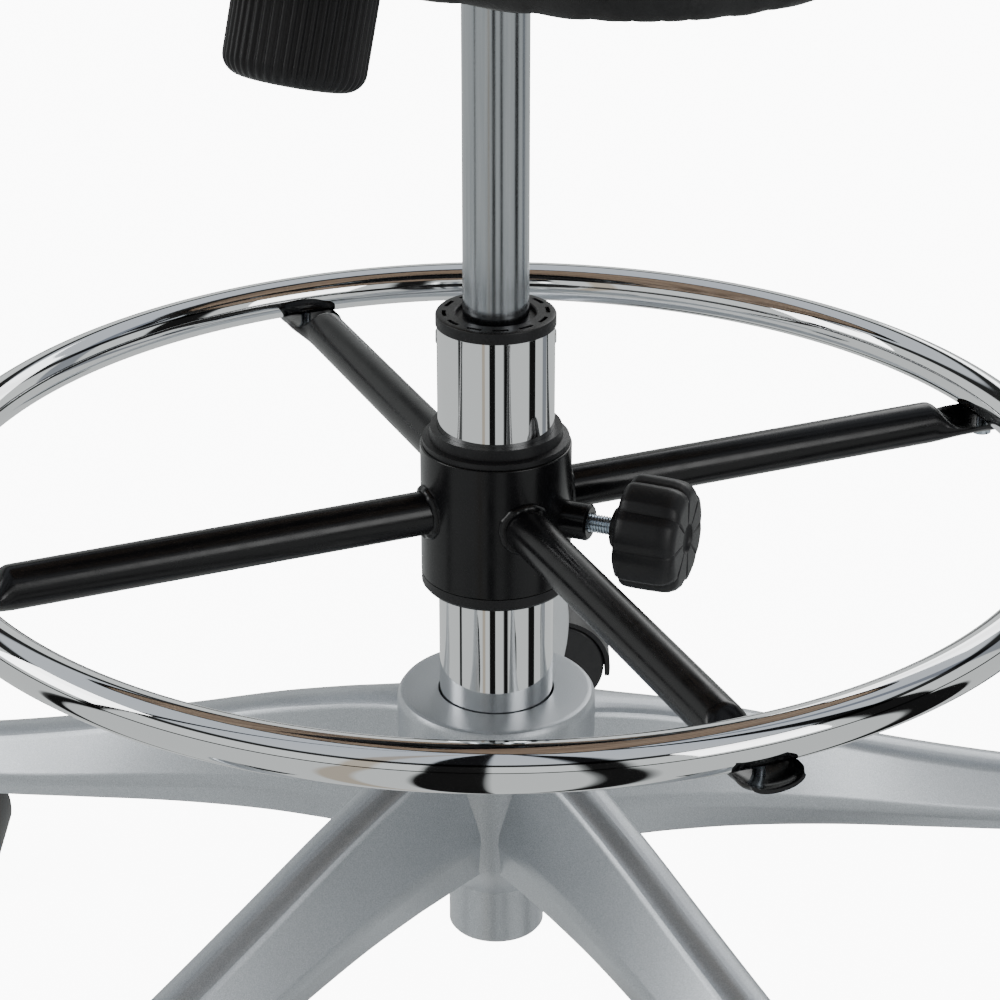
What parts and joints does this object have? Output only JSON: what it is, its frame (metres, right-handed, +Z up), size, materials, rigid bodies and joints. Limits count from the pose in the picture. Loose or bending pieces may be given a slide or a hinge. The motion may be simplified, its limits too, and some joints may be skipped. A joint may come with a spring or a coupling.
{
  "type": "drafting chair",
  "caption": "Height-adjustable drafting chair with a sliding foot ring, tilting padded seat, adjustable backrest and a star base on twin-wheel casters.",
  "frame": {"origin": "on the floor, on the axis of the gas lift column", "axes": "+Z up along the column, the chair faces -Y, +X to the left of a person sitting in it"},
  "size_m": [0.6623, 0.7006, 1.0901],
  "materials": {
    "silver_paint": "silver metallic paint, semi-gloss",
    "chrome": "polished chrome plating",
    "satin_steel": "satin ground steel",
    "black_enamel": "black powder coat, semi-gloss",
    "black_plastic": "black moulded plastic, fine texture",
    "zinc": "bright zinc plating",
    "black_leather": "black grained synthetic leather over foam",
    "plywood": "dark stained plywood",
    "buffer_rubber": "black rubber",
    "wheel_nylon": "black nylon, satin tread"
  },
  "bodies": {
    "base": {"base_star": "silver_paint", "column_outer_tube": "chrome", "column_cap": "black_plastic", "column_guide_bush": "black_plastic", "thrust_bearing": "zinc"},
    "ring_bushes": {"collar_top_bush": "black_plastic", "collar_bottom_bush": "black_plastic"},
    "foot_ring": {"foot_ring_tube": "chrome", "foot_ring_spider": "black_enamel", "ring_screws": "zinc"},
    "ring_clamp": {"clamp_screw": "zinc", "clamp_knob": "black_plastic"},
    "lift_rod": {"piston_rod": "satin_steel", "piston_head": "satin_steel", "retaining_clip": "zinc", "lift_buffer": "buffer_rubber"},
    "lift": {"gas_cylinder": "satin_steel", "cylinder_gland": "black_plastic", "mechanism_housing": "black_enamel", "tilt_pivot_pin": "zinc", "tilt_springs": "zinc"},
    "valve": {"valve_pin": "zinc"},
    "lever": {"height_lever": "black_enamel", "lever_grip": "black_plastic"},
    "tension": {"tension_knob": "black_plastic", "tension_bolt": "zinc"},
    "seat": {"seat_plate": "black_enamel", "seat_board": "plywood", "seat_cushion": "black_leather", "seat_bolts": "zinc", "seat_tee_nuts": "zinc", "back_bar": "black_enamel"},
    "back": {"back_bracket": "black_plastic", "back_board": "plywood", "back_cushion": "black_leather", "back_cover": "black_plastic", "back_bolts": "zinc"},
    "back_clamp": {"back_knob_screw": "zinc", "back_knob": "black_plastic"},
    "caster_1": {"caster_hood_1": "black_plastic", "caster_stem_1": "zinc", "caster_axle_1": "zinc"},
    "wheels_1": {"caster_wheels_1": "wheel_nylon"},
    "caster_2": {"caster_hood_2": "black_plastic", "caster_stem_2": "zinc", "caster_axle_2": "zinc"},
    "wheels_2": {"caster_wheels_2": "wheel_nylon"},
    "caster_3": {"caster_hood_3": "black_plastic", "caster_stem_3": "zinc", "caster_axle_3": "zinc"},
    "wheels_3": {"caster_wheels_3": "wheel_nylon"},
    "caster_4": {"caster_hood_4": "black_plastic", "caster_stem_4": "zinc", "caster_axle_4": "zinc"},
    "wheels_4": {"caster_wheels_4": "wheel_nylon"},
    "caster_5": {"caster_hood_5": "black_plastic", "caster_stem_5": "zinc", "caster_axle_5": "zinc"},
    "wheels_5": {"caster_wheels_5": "wheel_nylon"}
  },
  "joints": [
    {"name": "seat_swivel", "type": "hinge", "parent": "base", "child": "lift_rod", "pos_m": [0, 0, 0.05], "axis": [0, 0, 1], "continuous": true},
    {"name": "lift_height", "type": "slide", "parent": "lift_rod", "child": "lift", "axis": [0, 0, 1], "range_m": [-0.075, 0.125]},
    {"name": "valve_press", "type": "slide", "parent": "lift", "child": "valve", "axis": [0, 0, -1], "range_m": [0, 0.0037], "stiffness_N_per_m": 300, "springref_m": -0.001},
    {"name": "lever_lift", "type": "hinge", "parent": "lift", "child": "lever", "pos_m": [-0.0465, 0, 0.536], "axis": [0, 1, 0], "range_deg": [0, 4.3], "stiffness_Nm_per_rad": 2, "springref_deg": -5.73},
    {"name": "tension_turn", "type": "hinge", "parent": "lift", "child": "tension", "pos_m": [0, -0.118, 0.474], "axis": [0, 0.2756, 0.9613], "range_deg": [-720, 720]},
    {"name": "seat_tilt", "type": "hinge", "parent": "lift", "child": "seat", "pos_m": [0, -0.04, 0.53], "axis": [-1, 0, 0], "range_deg": [0, 12], "stiffness_Nm_per_rad": 120, "springref_deg": -14.32},
    {"name": "back_height", "type": "slide", "parent": "seat", "child": "back", "axis": [0, 0.1392, 0.9903], "range_m": [-0.03, 0.05]},
    {"name": "back_clamp_turn", "type": "hinge", "parent": "back", "child": "back_clamp", "pos_m": [0, 0.3392, 0.79174], "axis": [0, 0.9903, -0.1392], "range_deg": [0, 720]},
    {"name": "ring_height", "type": "slide", "parent": "base", "child": "ring_bushes", "axis": [0, 0, 1], "range_m": [-0.05, 0.045]},
    {"name": "ring_turn", "type": "hinge", "parent": "ring_bushes", "child": "foot_ring", "pos_m": [0, 0, 0.262], "axis": [0, 0, 1], "continuous": true},
    {"name": "ring_clamp_turn", "type": "hinge", "parent": "foot_ring", "child": "ring_clamp", "pos_m": [0, 0, 0.258], "axis": [0.9511, 0.309, 0], "range_deg": [0, 720]},
    {"name": "caster_swivel_1", "type": "hinge", "parent": "base", "child": "caster_1", "pos_m": [0.18221, 0.25079, 0.06], "axis": [0, 0, 1], "continuous": true},
    {"name": "wheel_spin_1", "type": "hinge", "parent": "caster_1", "child": "wheels_1", "pos_m": [0.19217, 0.25915, 0.025], "axis": [-0.6428, 0.766, 0], "continuous": true},
    {"name": "caster_swivel_2", "type": "hinge", "parent": "base", "child": "caster_2", "pos_m": [-0.18221, 0.25079, 0.06], "axis": [0, 0, 1], "continuous": true},
    {"name": "wheel_spin_2", "type": "hinge", "parent": "caster_2", "child": "wheels_2", "pos_m": [-0.17225, 0.25915, 0.025], "axis": [-0.6428, 0.766, 0], "continuous": true},
    {"name": "caster_swivel_3", "type": "hinge", "parent": "base", "child": "caster_3", "pos_m": [-0.29483, -0.0958, 0.06], "axis": [0, 0, 1], "continuous": true},
    {"name": "wheel_spin_3", "type": "hinge", "parent": "caster_3", "child": "wheels_3", "pos_m": [-0.28487, -0.08744, 0.025], "axis": [-0.6428, 0.766, 0], "continuous": true},
    {"name": "caster_swivel_4", "type": "hinge", "parent": "base", "child": "caster_4", "pos_m": [0, -0.31, 0.06], "axis": [0, 0, 1], "continuous": true},
    {"name": "wheel_spin_4", "type": "hinge", "parent": "caster_4", "child": "wheels_4", "pos_m": [0.00996, -0.30164, 0.025], "axis": [-0.6428, 0.766, 0], "continuous": true},
    {"name": "caster_swivel_5", "type": "hinge", "parent": "base", "child": "caster_5", "pos_m": [0.29483, -0.0958, 0.06], "axis": [0, 0, 1], "continuous": true},
    {"name": "wheel_spin_5", "type": "hinge", "parent": "caster_5", "child": "wheels_5", "pos_m": [0.30479, -0.08744, 0.025], "axis": [-0.6428, 0.766, 0], "continuous": true}
  ],
  "couplings": [
    {"joint": "valve_press", "follows": "lever_lift", "m_per_rad": 0.0465}
  ]
}
